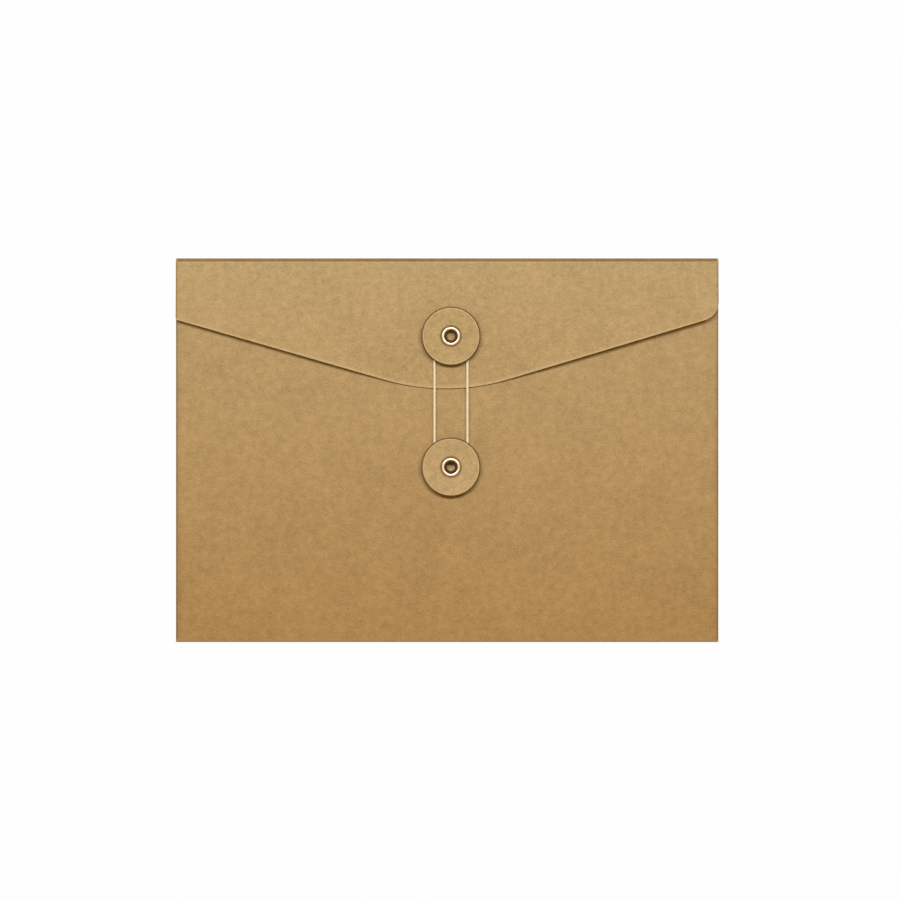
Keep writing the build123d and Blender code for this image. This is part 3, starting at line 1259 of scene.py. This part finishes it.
@dataclass
class TieString:
    """The string: one twisted cord from its knot round both spacers and back. Sizes are in mm."""

    diameter: float = 1.1
    length: float = 156.0
    strands: int = 3
    strand_share: float = 0.56
    groove_depth: float = 0.5
    sides: int = 24
    pitch: float = 3.2
    ring_step: float = 0.2
    gathered: float = 0.18
    sharp: float = 75.0
    spline_order: int = 3
    spline_steps: int = 48
    route: tuple[Point, ...] = (
        (1.85, 55.7, 3.95), (6.0, 55.7, 3.95), (8.55, 50.979, 3.95), (8.55, 44.379, 3.858),
        (8.55, -3.379, 3.192), (8.55, -9.979, 3.1), (4.479, -14.05, 3.1), (-1.279, -14.05, 3.1),
        (-5.35, -9.979, 3.1), (-5.35, -3.379, 3.192), (-5.35, 44.379, 3.858), (-5.35, 50.979, 3.95),
        (-2.8, 55.7, 3.95), (1.35, 55.7, 3.95),
    )
    knot_route: tuple[Point, ...] = (
        (-1.75, 0.0, 0.0), (-1.0, 0.05, 0.0), (0.1, 0.75, 0.38), (1.05, 0.45, 0.30),
        (0.85, -0.5, -0.15), (0.0, -0.75, -0.38), (-0.85, -0.5, 0.15), (-1.05, 0.45, 0.25),
        (-0.1, 0.75, -0.38), (1.0, 0.05, 0.0), (1.75, 0.0, 0.0),
    )
    knot_centre: Point = (1.6, 55.7, 3.865)
    knot_diameter: float = 0.82
    flap_anchor: Point = (*FLAP_BUTTON_PLACE, 3.95)
    gather_axis: Point = (0.0, 55.2, 0.85)

    def spline_points(self, route: tuple[Point, ...]) -> list[Vector]:
        """Draw a route as a smooth spline and read the points along it.

        Args:
            route: the spline's control points in mm.

        Returns:
            Points along the spline in mm, evenly spaced.
        """
        curve = bpy.data.curves.new("string_line", "CURVE")
        curve.dimensions = "3D"
        curve.resolution_u = self.spline_steps
        spline = curve.splines.new("NURBS")
        spline.points.add(len(route) - 1)
        for point, place in zip(spline.points, route):
            point.co = (*place, 1.0)
        spline.order_u = self.spline_order
        spline.use_endpoint_u = True
        holder = bpy.data.objects.new("string_line", curve)
        mesh = bpy.data.meshes.new_from_object(holder)
        raw = [vert.co.copy() for vert in mesh.vertices]
        bpy.data.meshes.remove(mesh)
        bpy.data.objects.remove(holder)
        bpy.data.curves.remove(curve)
        return self.even(raw)

    def even(self, raw: list[Vector]) -> list[Vector]:
        """Space points evenly along a line.

        Args:
            raw: points along the line.

        Returns:
            Points about one ring step apart.
        """
        runs = [(after - before).length for before, after in zip(raw, raw[1:])]
        count = round(sum(runs) / self.ring_step)
        step = sum(runs) / count
        points, done, index = [raw[0]], 0.0, 0
        for number in range(1, count):
            while done + runs[index] < number * step:
                done += runs[index]
                index += 1
            share = (number * step - done) / runs[index]
            points.append(raw[index].lerp(raw[index + 1], share))
        return [*points, raw[-1]]

    def lobe(self, angle: float, radius: float) -> float:
        """Find the radius of the twisted section.

        Args:
            angle: angle round the section in radians.
            radius: radius over the crowns of the strands.

        Returns:
            The radius at that angle.
        """
        arc = math.tau / self.strands
        off = (angle + arc / 2) % arc - arc / 2
        strand = self.strand_share * radius
        arm = radius - strand
        return arm * math.cos(off) + math.sqrt(strand**2 - (arm * math.sin(off)) ** 2)

    def twist(self, points: list[Vector], diameter: float) -> BMesh:
        """Draw a twisted cord along points.

        Args:
            points: the cord's middle line in mm.
            diameter: its diameter in mm.

        Returns:
            The cord.
        """
        bm = new_mesh(Mark.GROOVE)
        layer = bm.loops.layers.uv.new("along")
        crown = diameter / 2
        start = bmesh.ops.create_circle(bm, segments=self.sides, radius=crown)["verts"]
        # Painted shade deepens towards the grooves between the strands.
        for vert in start:
            radius = self.lobe(math.atan2(vert.co.y, vert.co.x), crown)
            set_mark(bm, Mark.GROOVE, [vert], (1 - radius / crown) / self.groove_depth)
            vert.co = vert.co.normalized() * radius
        tangents = [(after - before).normalized()
                    for before, after in zip([points[0], *points], [*points[1:], points[-1]])]
        turn = UP.rotation_difference(tangents[0])
        frame_before = Matrix.Translation(points[0]) @ turn.to_matrix().to_4x4()
        bmesh.ops.transform(bm, matrix=frame_before, verts=start)
        edges = list(bm.edges)
        step_turn = math.tau * self.ring_step / self.pitch
        for number in range(1, len(points)):
            turn = tangents[number - 1].rotation_difference(tangents[number]) @ turn
            spun = Matrix.Rotation(step_turn * number, 4, "Z")
            frame_now = Matrix.Translation(points[number]) @ turn.to_matrix().to_4x4() @ spun
            grown = bmesh.ops.extrude_edge_only(bm, edges=edges)["geom"]
            verts = only(grown, BMVert)
            edges = [edge for edge in only(grown, BMEdge) if all(vert in verts for vert in edge.verts)]
            bmesh.ops.transform(bm, matrix=frame_now @ frame_before.inverted(), verts=verts)
            self.lay_uv(only(grown, BMFace), layer, number)
            frame_before = frame_now
        for end in (start, verts):
            bmesh.ops.contextual_create(bm, geom=end)
        face_out(bm)
        return bm

    def lay_uv(self, faces: list[BMFace], layer: BMLayerItem, number: int) -> None:
        """Lay the faces of a ring out along the cord.

        Args:
            faces: the ring's faces.
            layer: the UV layer.
            number: the ring's number along the cord.
        """
        # Corners 1 and 2 of a face are one ring further along, 2 and 3 one side further round.
        for side, face in enumerate(faces):
            for corner, loop in enumerate(face.loops):
                loop[layer].uv = ((number + (corner in (1, 2))) * self.ring_step * MM,
                                  (side + (corner in (2, 3))) / self.sides)

    def dress(self, finishes: Finishes) -> list[Object]:
        """Build the string and its knot, and put them on the flap.

        Args:
            finishes: the envelope's finishes.

        Returns:
            The pieces.
        """
        cotton = finishes[Slot.STRING]
        line = self.spline_points(self.route)
        string = fit(make_piece(self.twist(line, self.diameter), "twisted_string", cotton, self.sharp),
                     Body.FLAP, Slot.STRING, "tie_string")
        middle = Vector(self.knot_centre)
        loops = [point + middle for point in self.spline_points(self.knot_route)]
        knot = fit(make_piece(self.twist(loops, self.knot_diameter), "overhand_knot", cotton, self.sharp),
                   Body.FLAP, Slot.STRING, "string_knot")
        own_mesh(string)
        return [string, knot]


@dataclass
class Studio:
    """The camera straight above the envelope, soft light from the flap's side and a white floor."""

    # Lengths are in mm, but the distance and sizes of the softboxes are in metres.
    aim: Place = (1.2, 0.08)
    view_width: float = 380.07
    view_level: float = 1.3
    lens: float = 200.0
    sensor: float = 36.0
    key_distance: float = 1.15
    # Name, turn and tilt in degrees, size and power of each softbox.
    softboxes: tuple[tuple[str, float, float, Place, float], ...] = (
        ("softbox", 0.0, 24.0, (0.4, 0.2), 5.1),
        ("left_softbox", 50.0, 32.0, (0.22, 0.22), 3.2),
        ("right_softbox", -50.0, 32.0, (0.22, 0.22), 3.1),
    )
    key_colour: Colour = (0.92, 0.99, 1.107)
    fill: float = 0.2
    fill_colour: Linear = (1.2, 0.9, 0.25, 1.0)
    floor_size: float = 6000.0
    floor_drop: float = 0.05
    floor_glow: float = 0.96
    floor_colour: Linear = (0.86, 0.86, 0.86, 1.0)

    def camera(self) -> None:
        """Put the camera where the photograph was taken from."""
        data = bpy.data.cameras.new("camera")
        data.lens = self.lens
        data.sensor_width = self.sensor
        distance = self.view_width / self.sensor * self.lens
        camera = new_object("camera", data)
        camera.location = Vector((*self.aim, self.view_level + distance)) * MM
        bpy.context.scene.camera = camera

    def light(self) -> None:
        """Hang softboxes above the flap side, in the middle and towards both corners, and aim them."""
        for name, turn, tilt, size, power in self.softboxes:
            data = bpy.data.lights.new(name, "AREA")
            data.shape = "RECTANGLE"
            data.size, data.size_y = size
            data.energy = power
            data.color = self.key_colour
            lamp = new_object(name, data)
            aim = Matrix.Rotation(math.radians(turn), 4, "Z") @ Matrix.Rotation(-math.radians(tilt), 4, "X")
            lamp.location = aim @ (UP * self.key_distance)
            lamp.rotation_euler = aim.to_euler()

    def world(self) -> None:
        """Fill the room with dim warm light, and show white to the camera and to metal."""
        world = bpy.data.worlds.new("studio")
        world.use_nodes = True
        graph = Graph(world.node_tree)
        seen = graph.ray_is("Camera", "Glossy", "Transmission")
        back = graph.add("ShaderNodeBackground", {
            "Color": graph.mix(seen, self.fill_colour, WHITE),
            "Strength": graph.spread(seen, (0.0, 1.0), (self.fill, 1.0)),
        })
        graph.add("ShaderNodeOutputWorld", {"Surface": back.outputs[0]})
        bpy.context.scene.world = world

    def floor(self) -> None:
        """Lay a white floor that shows white to the camera and keeps a trace of shadow."""
        material = bpy.data.materials.new("white_floor")
        material.use_nodes = True
        graph = Graph(material.node_tree)
        matt = graph.add("ShaderNodeBsdfDiffuse", {"Color": self.floor_colour})
        glow = graph.add("ShaderNodeEmission")
        share = graph.math("MULTIPLY", graph.ray_is("Camera", "Glossy"), self.floor_glow)
        blend = graph.add("ShaderNodeMixShader", dict(enumerate((share, matt.outputs[0], glow.outputs[0]))))
        graph.add("ShaderNodeOutputMaterial", {"Surface": blend.outputs[0]})
        bm = new_mesh()
        bmesh.ops.create_grid(bm, x_segments=2, y_segments=2, size=self.floor_size / 2)
        floor = make_piece(bm, "floor", material)
        floor.location.z = -self.floor_drop * MM

    def set_up(self) -> None:
        """Set up the whole studio."""
        bpy.context.scene.view_settings.view_transform = "Standard"
        self.camera()
        self.light()
        self.world()
        self.floor()


def main() -> None:
    """Build the studio and every sub-assembly in order."""
    logging.basicConfig(level=logging.INFO, format="%(message)s")
    Studio().set_up()
    finishes = make_finishes()
    sheet = Sheet()
    assemblies = (
        TieString(),
        Pocket(),
        Flap(),
        Button("flap", FLAP_BUTTON_PLACE, sheet.flap_top, Body.FLAP, Body.FLAP_BUTTON),
        Button("front", FRONT_BUTTON_PLACE, sheet.front_top, Body.POCKET, Body.FRONT_BUTTON),
    )
    for assembly in assemblies:
        for piece in assembly.dress(finishes):
            LOG.info("%s: %d faces", piece.name, len(piece.data.polygons))


if __name__ == "__main__":
    main()
